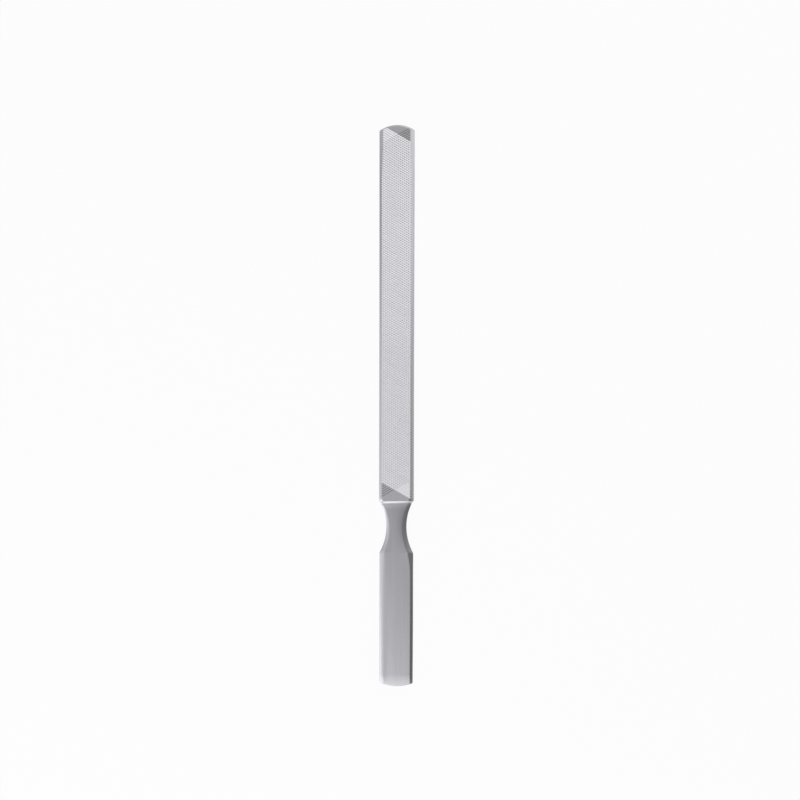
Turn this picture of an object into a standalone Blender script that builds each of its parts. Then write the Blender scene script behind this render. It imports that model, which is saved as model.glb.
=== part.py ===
"""A metal nail file: a double-faced blade whose tang is set in a flat, waisted handle.

Metres, +Z up. The file lies flat: X is its width, Y its length with the tip at +Y, Z its thickness.
The origin is on the surface it lies on, under the middle of its length.
"""

import math

import bmesh
import bpy
from mathutils import Matrix, Vector

# The whole file
OVERALL_LENGTH = 0.165

# The blade, from its tip to the rear of its shoulder
BLADE_LENGTH = 0.1113
BLADE_WIDTH = 0.01042
BLADE_THICKNESS = 0.0026
BLADE_BEVEL_WIDTH = 0.00095
BLADE_BEVEL_DROP = 0.00050
TIP_CROWN = 0.0016
SHOULDER_CHAMFER_LENGTH = 0.00065

# The cuts across each face, which lean down to the right with the tip at the top
CUT_PITCH = 0.00070
CUT_DEPTH = 0.00014
CUT_ANGLE = math.radians(30)
FIRST_CUT_FROM_TIP = 0.0027
LAST_CUT_FROM_SHOULDER = 0.0037
CUT_WIDTH_SHARE = 0.72
CUT_PROUD_SHARE = 0.2

# The tang, hidden in the neck, and the room for solder round it
TANG_LENGTH = 0.0140
TANG_WIDTH = 0.0026
TANG_THICKNESS = 0.0008
TANG_EDGE_BREAK = 0.0001
SOLDER_GAP = 0.0003

# The neck, whose two sides are arcs level with the waist
NECK_THICKNESS = 0.0021
WAIST_WIDTH = 0.00597
WAIST_FROM_SHOULDER = 0.0065
NECK_RADIUS = 0.0160
NECK_BLEND_RADIUS = 0.0018

# The grip behind the neck
HANDLE_WIDTH = 0.0100
HANDLE_THICKNESS = 0.0026
HANDLE_BEVEL_WIDTH = 0.00095
HANDLE_BEVEL_DROP = 0.00050
END_CROWN = 0.00102
END_ROUND_LENGTH = 0.0022
END_ROUND_DROP = 0.00030

# How far a cutter runs past what it cuts, and how near two points are when they are one
OVERRUN = 0.0010
ARC_OVERRUN_SHARE = 0.15
WELD_DISTANCE = 0.00001

# The two finishes, in linear RGB
CUT_COLOUR = (0.62, 0.62, 0.64)
CUT_ROUGHNESS = 0.30
SATIN_COLOUR = (0.56, 0.56, 0.58)
SATIN_ROUGHNESS = 0.34

# Into how many steps each curve is divided
NECK_STEPS = 18
BLEND_STEPS = 5
END_ROUND_STEPS = 4
ARC_STEPS = 16

# Places along the length and in the thickness
TIP_Y = OVERALL_LENGTH / 2
END_Y = -OVERALL_LENGTH / 2
SHOULDER_Y = TIP_Y - BLADE_LENGTH
NECK_FRONT_Y = SHOULDER_Y - SOLDER_GAP
WAIST_Y = SHOULDER_Y - WAIST_FROM_SHOULDER
MID_HEIGHT = max(BLADE_THICKNESS, HANDLE_THICKNESS) / 2


def clear_scene():
    """Remove every object, so that the script can be run again."""
    for obj in list(bpy.data.objects):
        bpy.data.objects.remove(obj, do_unlink=True)


def new_collection(name):
    """A collection linked to the scene."""
    collection = bpy.data.collections.new(name)
    bpy.context.scene.collection.children.link(collection)
    return collection


def steel(name, colour, roughness):
    """A steel finish. The colour is linear RGB."""
    material = bpy.data.materials.new(name)
    material.use_nodes = True
    shader = material.node_tree.nodes["Principled BSDF"]
    shader.inputs["Base Color"].default_value = (*colour, 1.0)
    shader.inputs["Metallic"].default_value = 1.0
    shader.inputs["Roughness"].default_value = roughness
    return material


def new_object(name, mesh, collection):
    """An object that holds a mesh, in a collection."""
    obj = bpy.data.objects.new(name, mesh)
    collection.objects.link(obj)
    return obj


def bar_section(y, half_width, half_thickness, bevel_width, bevel_drop):
    """Eight points round a flat bar with four bevelled edges, cut square across at y."""
    face = half_width - bevel_width
    wall = half_thickness - bevel_drop
    right = [(face, half_thickness), (half_width, wall), (half_width, -wall), (face, -half_thickness)]
    left = [(-x, z) for x, z in reversed(right)]
    return [Vector((x, y, MID_HEIGHT + z)) for x, z in right + left]


def loft(name, sections, collection):
    """A closed body through sections that all have the same number of points."""
    bm = bmesh.new()
    rings = [[bm.verts.new(point) for point in section] for section in sections]
    for ring, following in zip(rings, rings[1:]):
        for i, vert in enumerate(ring):
            bm.faces.new((ring[i - 1], vert, following[i], following[i - 1]))
    bm.faces.new(rings[0])
    bm.faces.new(rings[-1])
    bmesh.ops.recalc_face_normals(bm, faces=bm.faces)
    mesh = bpy.data.meshes.new(name)
    bm.to_mesh(mesh)
    bm.free()
    return new_object(name, mesh, collection)


def cut(obj, cutter):
    """Take the cutter's shape out of the object."""
    modifier = obj.modifiers.new(cutter.name, "BOOLEAN")
    modifier.operation = "DIFFERENCE"
    modifier.solver = "EXACT"
    modifier.object = cutter
    cutter.hide_render = True
    cutter.display_type = "WIRE"


def flat_block(name, outline, low_z, high_z, collection):
    """A flat outline raised to a block, made a closed mesh so that it can cut."""
    curve = bpy.data.curves.new(name, "CURVE")
    curve.dimensions = "2D"
    curve.fill_mode = "BOTH"
    curve.extrude = (high_z - low_z) / 2
    spline = curve.splines.new("POLY")
    spline.points.add(len(outline) - 1)
    for point, (x, y) in zip(spline.points, outline):
        point.co = (x, y, 0, 1)
    spline.use_cyclic_u = True
    drawn = new_object(name + "_outline", curve, collection)
    drawn.location.z = (low_z + high_z) / 2
    bpy.context.view_layer.update()
    evaluated = drawn.evaluated_get(bpy.context.evaluated_depsgraph_get())
    mesh = bpy.data.meshes.new_from_object(evaluated)
    bm = bmesh.new()
    bm.from_mesh(mesh)
    bmesh.ops.remove_doubles(bm, verts=bm.verts, dist=WELD_DISTANCE)
    bmesh.ops.recalc_face_normals(bm, faces=bm.faces)
    bm.to_mesh(mesh)
    bm.free()
    block = new_object(name, mesh, collection)
    block.matrix_world = drawn.matrix_world
    bpy.data.objects.remove(drawn, do_unlink=True)
    return block


def arc_outline(apex_y, crown, half_width, outward):
    """The plan of what lies beyond an arc end; outward is 1 at the tip and -1 at the other end."""
    radius = (half_width**2 + crown**2) / (2 * crown)
    centre_y = apex_y - outward * radius
    corner_angle = 2 * math.atan(crown / half_width)
    reach = corner_angle * (1 + ARC_OVERRUN_SHARE)
    arc = []
    for i in range(ARC_STEPS + 1):
        angle = reach * (2 * i / ARC_STEPS - 1)
        arc.append((radius * math.sin(angle), centre_y + outward * radius * math.cos(angle)))
    far_y = apex_y + outward * 2 * OVERRUN
    return [*arc, (arc[-1][0], far_y), (arc[0][0], far_y)]


def cut_arc_end(obj, name, apex_y, crown, half_width, outward, cutters):
    """Round an end of the bar, seen from above, to a shallow arc."""
    outline = arc_outline(apex_y, crown, half_width, outward)
    top = 2 * MID_HEIGHT + OVERRUN
    cut(obj, flat_block(name, outline, -OVERRUN, top, cutters))


def neck_circle():
    """Centre of the arc on the neck's right side."""
    return Vector((WAIST_WIDTH / 2 + NECK_RADIUS, WAIST_Y))


def blend_circle():
    """Centre of the small arc that eases the neck's side into the handle's."""
    neck = neck_circle()
    x = HANDLE_WIDTH / 2 - NECK_BLEND_RADIUS
    y = neck.y - math.sqrt((NECK_RADIUS + NECK_BLEND_RADIUS) ** 2 - (neck.x - x) ** 2)
    return Vector((x, y))


def neck_side():
    """Points down the neck's right side, as (half width, y), from its front to the grip."""
    neck = neck_circle()
    blend = blend_circle()
    front = math.asin((NECK_FRONT_Y - neck.y) / NECK_RADIUS)
    join = math.asin((blend.y - neck.y) / (NECK_RADIUS + NECK_BLEND_RADIUS))
    points = []
    for i in range(NECK_STEPS + 1):
        angle = front + (join - front) * i / NECK_STEPS
        points.append(neck + NECK_RADIUS * Vector((-math.cos(angle), math.sin(angle))))
    for i in range(1, BLEND_STEPS + 1):
        angle = -join * (1 - i / BLEND_STEPS)
        points.append(blend + NECK_BLEND_RADIUS * Vector((math.cos(angle), math.sin(angle))))
    return points


def neck_thickness(y):
    """The neck thickens smoothly from its front to the grip."""
    share = (NECK_FRONT_Y - y) / (NECK_FRONT_Y - blend_circle().y)
    ease = share * share * (3 - 2 * share)
    return NECK_THICKNESS + (HANDLE_THICKNESS - NECK_THICKNESS) * ease


def handle_section(y, half_width, thickness):
    """A section of the handle or its neck."""
    return bar_section(y, half_width, thickness / 2, HANDLE_BEVEL_WIDTH, HANDLE_BEVEL_DROP)


def tang_section(y, room):
    """A section of the tang, or of its slot when there is room round it."""
    half_width = TANG_WIDTH / 2 + room
    return bar_section(y, half_width, TANG_THICKNESS / 2 + room, TANG_EDGE_BREAK, TANG_EDGE_BREAK)


def make_handle(parts, cutters):
    """The grip and its neck: the loft starts at the bottom of the slot and turns out at the front."""
    slot_bottom_y = SHOULDER_Y - TANG_LENGTH - SOLDER_GAP
    sections = [tang_section(y, SOLDER_GAP) for y in (slot_bottom_y, NECK_FRONT_Y)]
    for half_width, y in neck_side():
        sections.append(handle_section(y, half_width, neck_thickness(y)))
    for i in range(END_ROUND_STEPS + 1):
        share = i / END_ROUND_STEPS
        thickness = HANDLE_THICKNESS - 2 * END_ROUND_DROP * share**2
        y = END_Y + END_ROUND_LENGTH * (1 - share)
        sections.append(handle_section(y, HANDLE_WIDTH / 2, thickness))
    sections.append(handle_section(END_Y - OVERRUN, HANDLE_WIDTH / 2, thickness))
    handle = loft("handle", sections, parts)
    handle.data.materials.append(steel("satin_steel", SATIN_COLOUR, SATIN_ROUGHNESS))
    cut_arc_end(handle, "handle_end_arc", END_Y, END_CROWN, HANDLE_WIDTH / 2, -1, cutters)


def blade_section(y):
    """A section of the blade."""
    return bar_section(y, BLADE_WIDTH / 2, BLADE_THICKNESS / 2, BLADE_BEVEL_WIDTH, BLADE_BEVEL_DROP)


def v_bar(name, width, depth, length):
    """A three-sided bar along X whose point is down, with its flat side on top at z = 0."""
    bm = bmesh.new()
    bmesh.ops.create_cone(bm, cap_ends=True, segments=3, radius1=1, radius2=1, depth=1)
    width_of_unit = math.sqrt(3)
    depth_of_unit = 3 / 2
    flat_side_of_unit = -1 / 2
    size = Matrix.Diagonal((width / width_of_unit, depth / depth_of_unit, length, 1))
    lie_down = Matrix.Rotation(math.pi / 2, 4, "Z") @ Matrix.Rotation(-math.pi / 2, 4, "X")
    flat_side_up = Matrix.Translation((0, -flat_side_of_unit, 0))
    bmesh.ops.transform(bm, matrix=lie_down @ size @ flat_side_up, verts=bm.verts)
    mesh = bpy.data.meshes.new(name)
    bm.to_mesh(mesh)
    bm.free()
    return mesh


def row_of_cuts(name, cutters):
    """A row of V-shaped bars along the blade, whose points reach the cuts' depth below z = 0."""
    proud = CUT_DEPTH * CUT_PROUD_SHARE
    width_at_face = CUT_PITCH * CUT_WIDTH_SHARE * math.cos(CUT_ANGLE)
    width = width_at_face * (1 + CUT_PROUD_SHARE)
    length = (BLADE_WIDTH + 2 * OVERRUN) / math.cos(CUT_ANGLE)
    mesh = v_bar(name, width, CUT_DEPTH + proud, length)
    mesh.transform(Matrix.Translation((0, 0, proud)) @ Matrix.Rotation(-CUT_ANGLE, 4, "Z"))
    row = new_object(name, mesh, cutters)
    array = row.modifiers.new("along the blade", "ARRAY")
    array.use_relative_offset = False
    array.use_constant_offset = True
    array.constant_offset_displace = (0, -CUT_PITCH, 0)
    cut_length = BLADE_LENGTH - FIRST_CUT_FROM_TIP - LAST_CUT_FROM_SHOULDER
    array.count = 1 + round(cut_length / CUT_PITCH)
    return row


def make_blade(parts, cutters):
    """The blade and its tang in one piece: the loft starts at the tang's end."""
    sections = [tang_section(y, 0) for y in (SHOULDER_Y - TANG_LENGTH, SHOULDER_Y)]
    neck_front_half_width = neck_side()[0].x
    sections.append(handle_section(SHOULDER_Y, neck_front_half_width, NECK_THICKNESS))
    sections.append(blade_section(SHOULDER_Y + SHOULDER_CHAMFER_LENGTH))
    sections.append(blade_section(TIP_Y + OVERRUN))
    blade = loft("file_blade", sections, parts)
    blade.data.materials.append(steel("cut_steel", CUT_COLOUR, CUT_ROUGHNESS))
    cut_arc_end(blade, "tip_arc", TIP_Y, TIP_CROWN, BLADE_WIDTH / 2, 1, cutters)
    first_cut_y = TIP_Y - FIRST_CUT_FROM_TIP
    upper_cuts = row_of_cuts("upper_cuts", cutters)
    upper_cuts.location = (0, first_cut_y, MID_HEIGHT + BLADE_THICKNESS / 2)
    lower_cuts = row_of_cuts("lower_cuts", cutters)
    lower_cuts.location = (0, first_cut_y, MID_HEIGHT - BLADE_THICKNESS / 2)
    lower_cuts.rotation_euler.y = math.pi
    cut(blade, upper_cuts)
    cut(blade, lower_cuts)


clear_scene()
nail_file = new_collection("nail_file")
cutting_shapes = new_collection("cutting_shapes")
make_blade(nail_file, cutting_shapes)
make_handle(nail_file, cutting_shapes)
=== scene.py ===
import math
import random

import bmesh
import bpy
from mathutils import Matrix, Vector


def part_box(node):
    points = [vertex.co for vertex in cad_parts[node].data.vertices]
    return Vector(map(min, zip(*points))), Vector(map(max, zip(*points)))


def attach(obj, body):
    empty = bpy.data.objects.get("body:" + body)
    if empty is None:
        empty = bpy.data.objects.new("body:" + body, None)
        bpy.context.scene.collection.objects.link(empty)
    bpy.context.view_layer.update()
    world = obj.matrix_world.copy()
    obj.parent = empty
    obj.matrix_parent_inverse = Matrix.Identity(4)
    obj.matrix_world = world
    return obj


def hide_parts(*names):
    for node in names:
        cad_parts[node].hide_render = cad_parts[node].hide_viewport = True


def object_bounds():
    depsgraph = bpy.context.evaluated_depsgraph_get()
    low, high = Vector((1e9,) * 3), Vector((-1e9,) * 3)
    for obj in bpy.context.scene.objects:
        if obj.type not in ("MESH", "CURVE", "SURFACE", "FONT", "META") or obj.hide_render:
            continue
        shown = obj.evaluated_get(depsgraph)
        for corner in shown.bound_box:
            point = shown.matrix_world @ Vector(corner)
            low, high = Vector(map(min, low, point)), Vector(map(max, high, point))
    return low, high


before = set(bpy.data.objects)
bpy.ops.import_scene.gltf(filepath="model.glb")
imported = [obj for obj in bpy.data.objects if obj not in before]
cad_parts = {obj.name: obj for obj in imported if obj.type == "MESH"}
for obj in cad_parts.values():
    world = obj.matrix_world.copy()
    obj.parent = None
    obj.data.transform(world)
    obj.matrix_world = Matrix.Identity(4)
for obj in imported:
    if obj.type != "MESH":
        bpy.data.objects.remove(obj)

cad_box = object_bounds()

# The blade with its tang
# One bar of stainless steel. The long edges are ground to bevels, the tip to a shallow arc and the
# shoulder to a chamfer, a little askew, that runs down to the neck. The tang sits unseen in the neck.
MM = 0.001
blade_low, blade_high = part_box("file_blade")
handle_low, handle_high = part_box("handle")
tip_y = blade_high.y
tang_end_y = blade_low.y
neck_front_y = handle_high.y
blade_half_width = blade_high.x
half_height = (blade_high.z - blade_low.z) / 2
mid_z = (blade_high.z + blade_low.z) / 2
seam_length = 0.30 * MM
shoulder_y = neck_front_y + seam_length
left_bevel_width = 0.98 * MM
left_bevel_drop = 0.50 * MM
right_bevel_width = 1.44 * MM
right_bevel_drop = 0.68 * MM
RIGHT_BEVEL_CURVE = 1.5
blade_rim = 0.10 * MM
tip_spread_start = 15 * MM
tip_spread_end = 7 * MM
left_tip_extra = 0.32 * MM
right_tip_extra = 0.10 * MM
RIGHT_TIP_CURVE = 1.15
blade_taper = 0.085 * MM
MIDDLE_TAPER_SHARE = 0.75
shoulder_land = 0.16 * MM
land_spread = 0.10 * MM
land_shift = 0.12 * MM
chamfer_length = 0.53 * MM
chamfer_skew = 0.08 * MM
corner_length = 0.50 * MM
corner_draw = 0.10 * MM
corner_shift = 0.06 * MM
seam_skew = 0.20 * MM
neck_front_half_width = 4.41 * MM
neck_front_half_height = 1.06 * MM
neck_shift = 0.04 * MM
left_front_edge_width = 0.62 * MM
left_front_edge_drop = 0.18 * MM
LEFT_FRONT_CURVE = 1.8
right_front_edge_width = 1.35 * MM
right_front_edge_drop = 0.28 * MM
RIGHT_FRONT_CURVE = 1.4
neck_front_crown = 0.09 * MM
neck_rim = 0.05 * MM
tang_half_width = 1.3 * MM
tang_half_height = 0.4 * MM
tang_edge_break = 0.1 * MM
tip_crown = 1.6 * MM
tip_corner_round = 0.60 * MM
tip_askew = 0.13 * MM
tip_bevel_width = 0.45 * MM
tip_bevel_drop = 0.16 * MM
overrun = 1.0 * MM
form_room = 0.02 * MM
end_room = 0.002 * MM
FLAT_STEPS = 5
EDGE_STEPS = 14
ARC_STEPS = 32
CORNER_STEPS = 8


def full_ring(right_quarter, left_quarter, y, skew=0, shift=0):
    """A section across the file at y, from the points of its two upper quarters, middle to side."""
    right = [*right_quarter, *((x, -z) for x, z in reversed(right_quarter))]
    left = [*((-x, -z) for x, z in left_quarter), *((-x, z) for x, z in reversed(left_quarter))]
    return [Vector((x + shift, y + skew * x / blade_half_width, mid_z + z)) for x, z in right + left]


def eased_quarter(half_width, half_thickness, width, drop, curve, crown, rim):
    """The upper quarter of a bar: a crowned face, an edge that turns down from it, and a broken rim.

    An edge with a curve of 1 is a flat bevel, with a curve of 2 a round one."""
    flat = half_width - width
    edge_top = half_thickness - crown
    quarter = []
    for i in range(FLAT_STEPS):
        share = (i + 0.5) / FLAT_STEPS
        quarter.append((flat * share, half_thickness - crown * share**2))
    for i in range(EDGE_STEPS + 1):
        share = i / EDGE_STEPS
        quarter.append((flat + (width - rim) * share, edge_top - (drop - rim) * share**curve))
    return [*quarter, (half_width, edge_top - drop)]


def as_object(name, bm):
    """Put the mesh that was built into the scene as an object."""
    mesh = bpy.data.meshes.new(name)
    bm.to_mesh(mesh)
    bm.free()
    made = bpy.data.objects.new(name, mesh)
    bpy.context.scene.collection.objects.link(made)
    return made


def forge(name, rings):
    """A closed body through rings that all have the same number of points."""
    bm = bmesh.new()
    loops = [[bm.verts.new(point) for point in ring] for ring in rings]
    for loop, following in zip(loops, loops[1:]):
        for i, vert in enumerate(loop):
            bm.faces.new((loop[i - 1], vert, following[i], following[i - 1]))
    bm.faces.new(loops[0])
    bm.faces.new(loops[-1])
    bmesh.ops.recalc_face_normals(bm, faces=bm.faces)
    return as_object(name, bm)


def machine(piece, operation, tool):
    """Take a tool's shape out of a piece, add it, or keep only what is inside it; then drop the tool."""
    modifier = piece.modifiers.new(tool.name, "BOOLEAN")
    modifier.operation = operation
    modifier.solver = "MANIFOLD"
    modifier.object = tool
    bpy.context.view_layer.update()
    result = piece.evaluated_get(bpy.context.evaluated_depsgraph_get())
    piece.data = bpy.data.meshes.new_from_object(result)
    piece.modifiers.clear()
    bpy.data.objects.remove(tool)


def end_form(end_y, back_y, half_width, end_half_height, crown, corner_round, edge_width, edge_drop, askew):
    """A form that a bar's arc end is ground to: its plan, drawn in at the upper and lower edge.

    The arc is set back by as much as it gains where it lies askew."""
    outward = math.copysign(1, end_y - back_y)
    radius = (half_width**2 + crown**2) / (2 * crown)
    centre_y = end_y - outward * (radius + askew**2 / (4 * crown) + end_room)
    side = half_width + form_room
    corner_x = side - corner_round
    back = outward * (back_y - centre_y)
    upper_rings = []
    for z in (half_height + edge_drop, end_half_height - edge_drop):
        arc = radius - edge_width * (1 + (z - end_half_height) / edge_drop)
        corner_y = math.sqrt((arc - corner_round) ** 2 - corner_x**2)
        join = math.atan2(corner_x, corner_y)
        right = []
        for i in range(ARC_STEPS + 1):
            angle = join * i / ARC_STEPS
            right.append((arc * math.sin(angle), arc * math.cos(angle)))
        for i in range(1, CORNER_STEPS + 1):
            angle = join + (math.pi / 2 - join) * i / CORNER_STEPS
            x = corner_x + corner_round * math.sin(angle)
            y = corner_y + corner_round * math.cos(angle)
            right.append((x, y))
        plan = [*right, (side, back), (-side, back), *((-x, y) for x, y in reversed(right[1:]))]
        upper_rings.append([(x, centre_y + outward * y + askew * x / side, z) for x, y in plan])
    lower_rings = [[(x, y, -z) for x, y, z in ring] for ring in reversed(upper_rings)]
    return forge("end_form", [
        [Vector((x, y, mid_z + z)) for x, y, z in ring] for ring in upper_rings + lower_rings
    ])


def tang_ring(y, room, skew=0):
    """A section of the tang, or with room round it, of the slot that takes it."""
    quarter = eased_quarter(
        tang_half_width + room, tang_half_height + room,
        tang_edge_break, tang_edge_break, curve=1, crown=0, rim=tang_edge_break / 2
    )
    return full_ring(quarter, quarter, y, skew)


def blade_ring(y, half_width, skew=0, shift=0, tip_share=0):
    """A section of the blade, whose right bevel is ground wider and rounder than its left one.

    The tip share is 1 where both bevels have spread as they do at the tip."""
    right_width = right_bevel_width + right_tip_extra * tip_share
    left_width = left_bevel_width + left_tip_extra * tip_share
    curve = RIGHT_BEVEL_CURVE + (RIGHT_TIP_CURVE - RIGHT_BEVEL_CURVE) * tip_share
    return full_ring(
        eased_quarter(half_width, half_height, right_width, right_bevel_drop, curve, crown=0, rim=blade_rim),
        eased_quarter(half_width, half_height, left_width, left_bevel_drop, curve=1, crown=0, rim=blade_rim),
        y, skew, shift
    )


def soft_ring(y, half_width, half_thickness, right_edge, left_edge, skew=0, shift=0):
    """A section of the neck or handle. An edge gives its width, its drop, its curve and the crown."""
    return full_ring(
        eased_quarter(half_width, half_thickness, *right_edge, neck_rim),
        eased_quarter(half_width, half_thickness, *left_edge, neck_rim),
        y, skew, shift
    )


right_front_edge = Vector((
    right_front_edge_width, right_front_edge_drop, RIGHT_FRONT_CURVE, neck_front_crown
))
left_front_edge = Vector((
    left_front_edge_width, left_front_edge_drop, LEFT_FRONT_CURVE, neck_front_crown
))


def front_ring(y, spread, shift):
    """A section like the neck's front: spread sideways, or drawn in all round by a spread below 0."""
    return soft_ring(
        y, neck_front_half_width + spread, neck_front_half_height + min(0, spread),
        right_front_edge, left_front_edge, seam_skew, shift
    )


chamfer_y = shoulder_y + shoulder_land + chamfer_length
narrow_half_width = blade_half_width - blade_taper
blade = forge("cut_blade", [
    tang_ring(tang_end_y, 0),
    tang_ring(shoulder_y, 0, seam_skew),
    front_ring(shoulder_y, 0, neck_shift),
    front_ring(shoulder_y + shoulder_land, land_spread, land_shift),
    blade_ring(chamfer_y, narrow_half_width - corner_draw, chamfer_skew, corner_shift),
    blade_ring(chamfer_y + corner_length, narrow_half_width),
    blade_ring(chamfer_y + 2 * corner_length, narrow_half_width),
    blade_ring((shoulder_y + tip_y) / 2, blade_half_width - MIDDLE_TAPER_SHARE * blade_taper),
    blade_ring(tip_y - tip_spread_start, blade_half_width),
    blade_ring(tip_y - tip_spread_end, blade_half_width, tip_share=1),
    blade_ring(tip_y + overrun, blade_half_width, tip_share=1),
])
machine(blade, "INTERSECT", end_form(
    tip_y, tang_end_y - overrun, blade_half_width, half_height,
    tip_crown, tip_corner_round, tip_bevel_width, tip_bevel_drop, tip_askew
))

# Two sets of V-shaped cuts are chiselled across each face, one leaning each way. The second set is the
# deeper one and nearly hides the first. Both stop short of the tip and of the shoulder.
cut_pitch = 0.70 * MM
cut_lean = math.radians(30)
first_cut_front_y = tip_y - 3.03 * MM
first_cut_back_y = shoulder_y + 4.6 * MM
first_cut_depth = 0.075 * MM
FIRST_CUT_WIDTH_SHARE = 0.78
second_cut_front_y = tip_y - 2.95 * MM
second_cut_back_y = shoulder_y + 4.1 * MM
second_cut_depth = 0.16 * MM
SECOND_CUT_WIDTH_SHARE = 0.94
PROUD_SHARE = 0.08
UNEVEN_SHARE = 0.05
random.seed(7)


def row_of_cuts(lean, front_y, back_y, depth, width_share, face):
    """A row of V-shaped bars across the blade; face is 1 for the upper face and -1 for the lower."""
    proud = Vector((0, 0, depth * PROUD_SHARE))
    along = Vector((math.cos(lean), -math.sin(lean), 0))
    across = Vector((math.sin(lean), math.cos(lean), 0))
    side = across * cut_pitch * width_share * math.cos(lean) * (1 + PROUD_SHARE) / 2
    reach = along * (blade_half_width + overrun) / math.cos(lean)
    flip = Matrix.Rotation(0 if face > 0 else math.pi, 4, "Y")
    place = Matrix.Translation((0, 0, mid_z)) @ flip @ Matrix.Translation((0, 0, half_height))
    bm = bmesh.new()
    for i in range(1 + round((front_y - back_y) / cut_pitch)):
        centre = Vector((0, front_y - i * cut_pitch, 0))
        bottom = Vector((0, 0, -depth * random.uniform(1 - UNEVEN_SHARE, 1 + UNEVEN_SHARE)))
        wedge = (side + proud, bottom, proud - side)
        near, far = [
            [bm.verts.new(place @ (centre + end * reach + point)) for point in wedge] for end in (-1, 1)
        ]
        bm.faces.new(near)
        bm.faces.new(far)
        for corner in range(len(wedge)):
            bm.faces.new((near[corner - 1], near[corner], far[corner], far[corner - 1]))
    bmesh.ops.recalc_face_normals(bm, faces=bm.faces)
    return as_object("cuts", bm)


for face in (1, -1):
    machine(blade, "DIFFERENCE", row_of_cuts(
        cut_lean, second_cut_front_y, second_cut_back_y, second_cut_depth, SECOND_CUT_WIDTH_SHARE, face
    ))
    machine(blade, "DIFFERENCE", row_of_cuts(
        -cut_lean, first_cut_front_y, first_cut_back_y, first_cut_depth, FIRST_CUT_WIDTH_SHARE, face
    ))

# The steel is ground lengthwise, so it carries fine streaks. The bevels are smoother than the face,
# the outer edges are painted brighter as rubbed wear and a painted highlight, and the cuts carry painted
# shade, darker the deeper they go. It is darkest in the first cuts in two opposite corners, where only
# the first cuts are seen on the upper face.
CUT_STEEL = (0.600, 0.600, 0.630, 1.0)
# This darker steel serves both the grinding streaks and a painted shade deep in the cuts.
STREAK_AND_CUT_SHADE_STEEL = (0.490, 0.490, 0.512, 1.0)
# The darkest steel is a painted shade in the first cuts.
FIRST_CUT_SHADE = (0.370, 0.370, 0.385, 1.0)
# The bright steel is partly rubbed wear and partly a painted highlight on the outer edges.
RUBBED_AND_HIGHLIGHT_STEEL = (0.700, 0.700, 0.715, 1.0)
LEAST_CUT_SHADE = 0.4
STREAK_STRENGTH = 0.12
RUBBED_AND_HIGHLIGHT_STRENGTH = 0.8
BEVEL_ROUGHNESS = 0.16
ROUGHNESS_STEP = 0.05
fine_grain = (0.06 * MM, 6 * MM)
broad_grain = (0.5 * MM, 25 * MM)
smudge_size = (7 * MM, 12 * MM)
grinding_depth = 0.0015 * MM
rubbed_and_highlight_width = 0.1 * MM
right_fade = 0.2 * MM
left_fade = 0.3 * MM
cut_shade_depths = (0.02 * MM, second_cut_depth)
first_cut_shade_depths = (0.01 * MM, first_cut_depth / 2)
before_second_cuts = (second_cut_front_y + 0.2 * MM, second_cut_front_y + 0.4 * MM)
behind_second_cuts = (second_cut_back_y - 0.8 * MM, second_cut_back_y - 0.5 * MM)
off_the_chamfer = (shoulder_y + 1.1 * MM, shoulder_y + 1.3 * MM)
on_the_tip_bevel = (tip_y - 0.6 * MM, tip_y - 0.5 * MM)


class Wire:
    """A socket of a material or the world. Sums and products of wires add their own nodes."""

    def __init__(self, tree, socket=None):
        self.tree = tree
        self.socket = socket

    def node(self, kind, settings, sockets, output=0):
        """Add a node: its settings first, then the values or wires of its sockets."""
        made = self.tree.nodes.new("ShaderNode" + kind)
        for name, value in settings.items():
            setattr(made, name, value)
        for name, value in sockets.items():
            if isinstance(value, Wire):
                self.tree.links.new(value.socket, made.inputs[name])
            else:
                made.inputs[name].default_value = value
        return Wire(self.tree, made.outputs[output])

    def __add__(self, other):
        return self.node("Math", {"operation": "ADD"}, {0: self, 1: other})

    def __sub__(self, other):
        return self.node("Math", {"operation": "SUBTRACT"}, {0: self, 1: other})

    def __rsub__(self, other):
        return self.node("Math", {"operation": "SUBTRACT"}, {0: other, 1: self})

    def __mul__(self, other):
        return self.node("Math", {"operation": "MULTIPLY"}, {0: self, 1: other})

    def __abs__(self):
        return self.node("Math", {"operation": "ABSOLUTE"}, {0: self})

    __radd__ = __add__
    __rmul__ = __mul__

    def rise(self, start, end):
        """0 up to start and 1 from end, smoothly between."""
        sockets = {"Value": self, "From Min": start, "From Max": end}
        return self.node("MapRange", {"interpolation_type": "SMOOTHSTEP"}, sockets)

    def blend(self, first, second):
        """A colour from first at 0 to second at 1."""
        return self.node("Mix", {"data_type": "RGBA"}, {0: self, 6: first, 7: second}, 2)


def bare_metal(name):
    """A bare metal, its shader, and a wire with the place on the piece."""
    metal = bpy.data.materials.new(name)
    metal.use_nodes = True
    shader = metal.node_tree.nodes["Principled BSDF"]
    shader.inputs["Metallic"].default_value = 1.0
    return metal, shader, Wire(metal.node_tree).node("TexCoord", {}, {}, "Object")


def streaks(place, width, length):
    """Marks of grinding lengthwise, from 0 to 1: noise that is drawn out along the file."""
    stretch = (1 / width, 1 / length, 1 / width)
    drawn_out = place.node("VectorMath", {"operation": "MULTIPLY"}, {0: place, 1: stretch})
    return place.node("TexNoise", {}, {"Vector": drawn_out, "Scale": 1.0, "Detail": 2.0}, "Fac")


def finish_metal(shader, colour, roughness, relief, depth):
    """Lead a colour, a roughness and the relief of the grinding marks to the shader."""
    bump = {"Strength": 1.0, "Distance": depth, "Height": relief}
    for wire, socket in (
        (colour, "Base Color"), (roughness, "Roughness"), (relief.node("Bump", {}, bump), "Normal")
    ):
        wire.tree.links.new(wire.socket, shader.inputs[socket])


def dress(piece, metal, sharp_degrees):
    """Give a piece its metal and shade it smooth between its sharp edges."""
    piece.data.materials.clear()
    piece.data.materials.append(metal)
    piece.data.shade_smooth()
    piece.data.set_sharp_from_angle(angle=math.radians(sharp_degrees))


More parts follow.
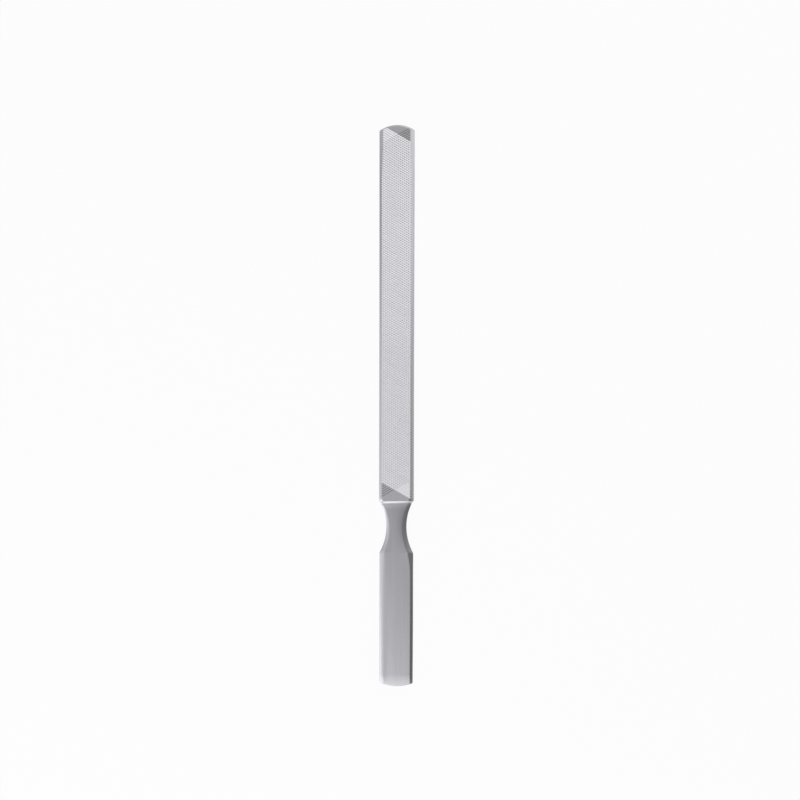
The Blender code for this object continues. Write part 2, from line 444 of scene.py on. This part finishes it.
cut_steel, shader, place = bare_metal("cut_steel")
across, along, height = (place.node("SeparateXYZ", {}, {0: place}, axis) for axis in "XYZ")
fine_streaks = streaks(place, *fine_grain)
broad_streaks = streaks(place, *broad_grain)
smudges = streaks(place, *smudge_size)
right_x = blade_half_width - right_bevel_width
left_x = left_bevel_width - blade_half_width
on_face = (1 - across.rise(right_x, right_x + right_fade)) * across.rise(left_x - left_fade, left_x)
on_edge = abs(across).rise(blade_half_width - rubbed_and_highlight_width, blade_half_width)
depth = half_height - abs(height - mid_z)
# Painted shade: the cuts are darker the deeper a point lies in them.
shade_in_cuts = depth.rise(*cut_shade_depths)
# Painted shade in the shallow first cuts.
shade_in_first_cuts = depth.rise(*first_cut_shade_depths)

# Places along the file, but measured from the middle along the second cuts, and along the tip's arc
by_cuts = along + math.tan(cut_lean) * across
by_arc = along + across * across * (tip_crown / blade_half_width**2)
first_only = by_cuts.rise(*before_second_cuts) + (1 - by_cuts.rise(*behind_second_cuts))
first_only = first_only * along.rise(*off_the_chamfer) * (1 - by_arc.rise(*on_the_tip_bevel))
# Painted shade in the cuts, stronger or weaker along the file with the smudges.
colour = (shade_in_cuts * on_face * (LEAST_CUT_SHADE + (1 - LEAST_CUT_SHADE) * smudges)).blend(CUT_STEEL, STREAK_AND_CUT_SHADE_STEEL)
# Painted shade in the first cuts where only they are seen, in two opposite corners.
colour = (shade_in_first_cuts * on_face * first_only).blend(colour, FIRST_CUT_SHADE)
colour = ((broad_streaks + smudges) * STREAK_STRENGTH).blend(colour, STREAK_AND_CUT_SHADE_STEEL)
# Outer edges painted brighter: rubbed wear and a painted highlight.
colour = (on_edge * RUBBED_AND_HIGHLIGHT_STRENGTH).blend(colour, RUBBED_AND_HIGHLIGHT_STEEL)
roughness = BEVEL_ROUGHNESS + ROUGHNESS_STEP * (on_face + fine_streaks + smudges)
finish_metal(shader, colour, roughness, fine_streaks, grinding_depth)
dress(blade, cut_steel, sharp_degrees=10)
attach(blade, "root")
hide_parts("file_blade")

# The handle with its neck
# One flat bar of stainless steel with soft edges. Its neck is thinner, drawn in to a waist, and swells
# back to the full width in two arcs. A blind slot in the neck holds the tang.
grip_end_y = handle_low.y
grip_inset = 0.05 * MM
grip_half_width = handle_high.x - grip_inset
grip_taper = 0.08 * MM
grip_crown = 0.03 * MM
left_grip_edge_width = 2.6 * MM
left_grip_edge_drop = 0.445 * MM
LEFT_GRIP_CURVE = 2.0
right_grip_edge_width = 1.0 * MM
right_grip_edge_drop = 0.34 * MM
RIGHT_GRIP_CURVE = 1.6
waist_half_width = 2.95 * MM
waist_y = shoulder_y - 6.7 * MM
neck_radius = 16.0 * MM
blend_radius = 1.8 * MM
flare_skew = 0.12 * MM
flare_edge_width = 1.55 * MM
flare_edge_drop = 0.40 * MM
FLARE_CURVE = 1.2
flare_crown = 0.01 * MM
left_easing_length = 20.0 * MM
right_easing_length = 4.0 * MM
fillet_length = 2.0 * MM
fillet_rise = 0.06 * MM
fillet_spread = 0.12 * MM
end_crown = 1.02 * MM
end_round_length = 3.4 * MM
end_round_drop = 0.32 * MM
end_corner_round = 0.8 * MM
end_edge_break = 0.06 * MM
end_askew = -0.12 * MM
NECK_STEPS = 48
BLEND_STEPS = 12
EASING_STEPS = 12
END_STEPS = 10

neck_centre = Vector((waist_half_width + neck_radius, waist_y))
blend_reach = neck_radius + blend_radius
blend_x = grip_half_width - blend_radius
blend_y = waist_y - math.sqrt(blend_reach**2 - (neck_centre.x - blend_x) ** 2)
blend_centre = Vector((blend_x, blend_y))
front_angle = math.asin((neck_front_y - waist_y) / neck_radius)
join_angle = math.asin((blend_y - waist_y) / blend_reach)
flare_edge = Vector((flare_edge_width, flare_edge_drop, FLARE_CURVE, flare_crown))
left_grip_edge = Vector((left_grip_edge_width, left_grip_edge_drop, LEFT_GRIP_CURVE, grip_crown))
right_grip_edge = Vector((right_grip_edge_width, right_grip_edge_drop, RIGHT_GRIP_CURVE, grip_crown))


def neck_ring(y, half_width):
    """A section of the neck, which thickens from its front to the grip, after a fillet at the front."""
    share = (neck_front_y - y) / (neck_front_y - blend_y)
    ease = 1 - (1 - share) ** 2
    fillet = max(0, 1 - (neck_front_y - y) / fillet_length) ** 2
    thinnest = neck_front_half_height - fillet_rise
    return soft_ring(
        y, half_width + fillet_spread * fillet,
        thinnest + (half_height - thinnest) * ease + fillet_rise * fillet,
        right_front_edge.lerp(flare_edge, share), left_front_edge.lerp(flare_edge, share),
        seam_skew * fillet - flare_skew * ease, neck_shift * (1 - ease)
    )


handle_rings = []
for i in range(NECK_STEPS + 1):
    angle = front_angle + (join_angle - front_angle) * i / NECK_STEPS
    side = neck_centre + neck_radius * Vector((-math.cos(angle), math.sin(angle)))
    handle_rings.append(neck_ring(side.y, side.x))
for i in range(1, BLEND_STEPS + 1):
    angle = -join_angle * (1 - i / BLEND_STEPS)
    side = blend_centre + blend_radius * Vector((math.cos(angle), math.sin(angle)))
    handle_rings.append(soft_ring(side.y, side.x, half_height, flare_edge, flare_edge, -flare_skew))
for i in range(1, EASING_STEPS + 1):
    left_share = (i / EASING_STEPS) ** 2
    right_share = min(1, left_share * left_easing_length / right_easing_length)
    handle_rings.append(soft_ring(
        blend_y - left_easing_length * left_share, grip_half_width, half_height,
        flare_edge.lerp(right_grip_edge, right_share), flare_edge.lerp(left_grip_edge, left_share),
        flare_skew * (right_share - 1)
    ))
for i in range(END_STEPS + 1):
    share = i / END_STEPS
    handle_rings.append(soft_ring(
        grip_end_y + end_round_length * (1 - share),
        grip_half_width - grip_taper / 2, half_height - end_round_drop * share**2,
        right_grip_edge, left_grip_edge, shift=-grip_taper / 2
    ))
handle_rings.append([Vector((p.x, p.y - overrun, p.z)) for p in handle_rings[-1]])
handle = forge("satin_handle", handle_rings)
machine(handle, "INTERSECT", end_form(
    grip_end_y, neck_front_y + overrun, grip_half_width, half_height - end_round_drop,
    end_crown, end_corner_round, end_edge_break, end_edge_break, end_askew
))
machine(handle, "DIFFERENCE", forge("slot", [
    tang_ring(y, seam_length) for y in (tang_end_y - seam_length, neck_front_y + overrun)
]))

# The handle is satin finished lengthwise: fine streaks, broader bands, and faint smudges of handling.
SATIN_STEEL = (0.600, 0.600, 0.632, 1.0)
DULL_STEEL = (0.470, 0.470, 0.495, 1.0)
BAND_STRENGTH = 0.45
SMUDGE_STRENGTH = 0.35
SATIN_ROUGHNESS = 0.15
STREAK_ROUGHNESS = 0.06
SMUDGE_ROUGHNESS = 0.05
fine_satin = (0.07 * MM, 5 * MM)
satin_bands = (0.6 * MM, 30 * MM)
handling_marks = (6 * MM, 14 * MM)
satin_depth = 0.0020 * MM

satin_steel, shader, place = bare_metal("satin_steel")
fine_streaks = streaks(place, *fine_satin)
bands = streaks(place, *satin_bands)
smudges = streaks(place, *handling_marks)
colour = (BAND_STRENGTH * bands + SMUDGE_STRENGTH * smudges).blend(SATIN_STEEL, DULL_STEEL)
roughness = SATIN_ROUGHNESS + STREAK_ROUGHNESS * fine_streaks + SMUDGE_ROUGHNESS * smudges
finish_metal(shader, colour, roughness, fine_streaks, satin_depth)
dress(handle, satin_steel, sharp_degrees=30)
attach(handle, "root")
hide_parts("handle")

# The solder of the joint
# Silver solder joins blade and handle. It fills the slot round the tang, and shows only as a hairline
# seam between the shoulder and the neck, dressed nearly flush when the neck was finished.
SOLDER_SILVER = (0.610, 0.610, 0.635, 1.0)
TARNISHED_SILVER = (0.520, 0.520, 0.540, 1.0)
TARNISH_STRENGTH = 0.5
SOLDER_ROUGHNESS = 0.25
GRAIN_ROUGHNESS = 0.1
solder_grain = 0.2 * MM
seam_hollow = 0.02 * MM

seam_middle_y = (neck_front_y + shoulder_y) / 2
solder = forge("solder_seam", [
    front_ring(neck_front_y, 0, neck_shift),
    front_ring(seam_middle_y, -seam_hollow, neck_shift),
    front_ring(shoulder_y, 0, neck_shift),
])
machine(solder, "UNION", forge("sleeve", [
    tang_ring(y, seam_length) for y in (tang_end_y - seam_length, seam_middle_y)
]))
machine(solder, "DIFFERENCE", forge("tang", [
    tang_ring(y, 0) for y in (tang_end_y, shoulder_y + overrun)
]))

silver, shader, place = bare_metal("solder_silver")
grains = streaks(place, solder_grain, solder_grain)
colour = (grains * TARNISH_STRENGTH).blend(SOLDER_SILVER, TARNISHED_SILVER)
roughness = SOLDER_ROUGHNESS + GRAIN_ROUGHNESS * grains
finish_metal(shader, colour, roughness, grains, satin_depth)
dress(solder, silver, sharp_degrees=30)
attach(solder, "root")

# The floor
# A plain pale sweep that the file lies on. To the camera, and mirrored in the steel, it shows as white
# as a studio sweep, and it keeps a little of the file's shadow.
FLOOR_COLOUR = (0.88, 0.88, 0.88, 1.0)
FLOOR_MOTTLE = (0.86, 0.86, 0.865, 1.0)
MOTTLE_SCALE = 40.0
WHITE = (1.0, 1.0, 1.0, 1.0)
WHITE_SHARE = 0.93
FLOOR_ROUGHNESS = 0.9
floor_radius = 3.0
floor_gap = 0.02 * MM

bm = bmesh.new()
bmesh.ops.create_circle(bm, cap_ends=True, segments=96, radius=floor_radius)
floor = as_object("floor", bm)
floor.location.z = cad_box[0].z - floor_gap
paper = bpy.data.materials.new("floor_paper")
paper.use_nodes = True
tree = paper.node_tree
shader = tree.nodes["Principled BSDF"]
shader.inputs["Roughness"].default_value = FLOOR_ROUGHNESS
shader.inputs["Specular IOR Level"].default_value = 0.0
seen, mirrored, through = (
    Wire(tree).node("LightPath", {}, {}, output)
    for output in ("Is Camera Ray", "Is Glossy Ray", "Is Transmission Ray")
)
place = Wire(tree).node("TexCoord", {}, {}, "Object")
mottle = place.node("TexNoise", {}, {"Vector": place, "Scale": MOTTLE_SCALE, "Detail": 3.0}, "Fac")
tree.links.new(mottle.blend(FLOOR_COLOUR, FLOOR_MOTTLE).socket, shader.inputs["Base Color"])
white = place.node("Emission", {}, {"Color": WHITE, "Strength": 1.0})
white_share = (seen + mirrored + through) * WHITE_SHARE
mixed = place.node("MixShader", {}, {0: white_share, 1: Wire(tree, shader.outputs[0]), 2: white})
tree.links.new(mixed.socket, tree.nodes["Material Output"].inputs["Surface"])
floor.data.materials.append(paper)

# The studio light
# A cloth tent stands round the table: white low down and light grey above, dimmer overhead, and dark
# at the right, where it opens. Its cloth has darker and lighter patches. Six softboxes, which the
# camera doesn't see, light the file from both sides and from the handle's end.
TENT_WHITE = 1.0
TENT_GREY = 0.78
OVERHEAD_DIMMING = 0.205
OPENING_DIMMING = 0.43
OPENING_AZIMUTH = -22


def sine(degrees):
    """The sine of an angle in degrees."""
    return math.sin(math.radians(degrees))


white_heights = (sine(5), sine(12))
overhead_heights = (sine(58), sine(76))
opening_sides = (sine(6), sine(28))
opening_reach = (0.2, 0.7)

world = bpy.data.worlds.new("tent")
bpy.context.scene.world = world
world.use_nodes = True
tree = world.node_tree
way = Wire(tree).node("TexCoord", {}, {}, "Generated")
up = way.node("SeparateXYZ", {}, {0: way}, "Z")


def toward(azimuth, elevation):
    """The direction at an azimuth and elevation in degrees, from +X towards +Y."""
    turn, lift = math.radians(azimuth), math.radians(elevation)
    return Vector((math.cos(turn) * math.cos(lift), math.sin(turn) * math.cos(lift), math.sin(lift)))


def reach_toward(azimuth, elevation):
    """How far each way lies toward a direction."""
    sockets = {0: way, 1: toward(azimuth, elevation)}
    return way.node("VectorMath", {"operation": "DOT_PRODUCT"}, sockets, "Value")


def patch(azimuth, elevation, outer, inner):
    """1 within the inner angle of a direction, and 0 beyond the outer one."""
    return reach_toward(azimuth, elevation).rise(sine(90 - outer), sine(90 - inner))


opening = 1 - abs(reach_toward(OPENING_AZIMUTH + 90, 0)).rise(*opening_sides)
opening = opening * reach_toward(OPENING_AZIMUTH, 0).rise(*opening_reach)
grey = TENT_GREY - OPENING_DIMMING * opening - OVERHEAD_DIMMING * up.rise(*overhead_heights)
for azimuth, elevation, outer, inner, gain in (
    (-10, 64, 28, 6, -0.31),
    (120, 65, 32, 6, -0.27),
    (158, 32, 36, 8, -0.29),
    (167, 58, 14, 4, 0.18),
    (188, 70, 20, 4, 0.20),
    (90, 76, 14, 8, 0.25),
    (270, 72, 14, 8, 0.47),
):
    grey = grey + gain * patch(azimuth, elevation, outer, inner)
glow = grey + (1 - up.rise(*white_heights)) * (TENT_WHITE - grey)
tree.nodes["Background"].inputs["Color"].default_value = WHITE
tree.links.new(glow.socket, tree.nodes["Background"].inputs["Strength"])

softbox_distance = 0.34


def softbox(name, azimuth, elevation, width, height, radiance):
    """A flat lamp that faces the middle of the file, unseen by the camera."""
    lamp = bpy.data.lights.new(name, "AREA")
    lamp.shape = "RECTANGLE"
    lamp.size = width
    lamp.size_y = height
    lamp.energy = radiance * math.pi * width * height
    box = bpy.data.objects.new(name, lamp)
    box.location = softbox_distance * toward(azimuth, elevation)
    box.rotation_euler = box.location.to_track_quat("Z", "Y").to_euler()
    box.visible_camera = False
    bpy.context.scene.collection.objects.link(box)


softbox("upper_right_box", 58, 30, 0.24, 0.20, 0.39)
softbox("right_box", 28, 42, 0.18, 0.14, 0.31)
softbox("left_box", 190, 38, 0.20, 0.13, 0.24)
softbox("lower_left_box", 238, 38, 0.34, 0.20, 0.45)
softbox("low_left_box", 215, 40, 0.20, 0.20, 0.44)
softbox("handle_end_box", 265, 30, 0.20, 0.20, 0.62)

# The camera
# It looks straight down on the file from over half a metre, as a long product lens does, with the
# file's middle a little to the left of and below the middle of the picture.
FILE_LENGTH_PIXELS = 561.1
FILE_MIDDLE_X_PIXELS = 396.65
FILE_MIDDLE_Y_PIXELS = 405.65
PICTURE_PIXELS = 800
LENS_MM = 85
SENSOR_MM = 36
outline_height = 2.3 * MM
camera_roll = math.radians(0.1)

pixel = (tip_y - grip_end_y) / FILE_LENGTH_PIXELS
camera = bpy.data.objects.new("camera", bpy.data.cameras.new("camera"))
camera.data.lens = LENS_MM
camera.data.sensor_width = SENSOR_MM
camera.location = (
    (PICTURE_PIXELS / 2 - FILE_MIDDLE_X_PIXELS) * pixel,
    (FILE_MIDDLE_Y_PIXELS - PICTURE_PIXELS / 2) * pixel,
    outline_height + PICTURE_PIXELS * pixel * LENS_MM / SENSOR_MM,
)
camera.rotation_euler.z = camera_roll
bpy.context.scene.collection.objects.link(camera)
bpy.context.scene.camera = camera
bpy.context.scene.view_settings.view_transform = "Standard"
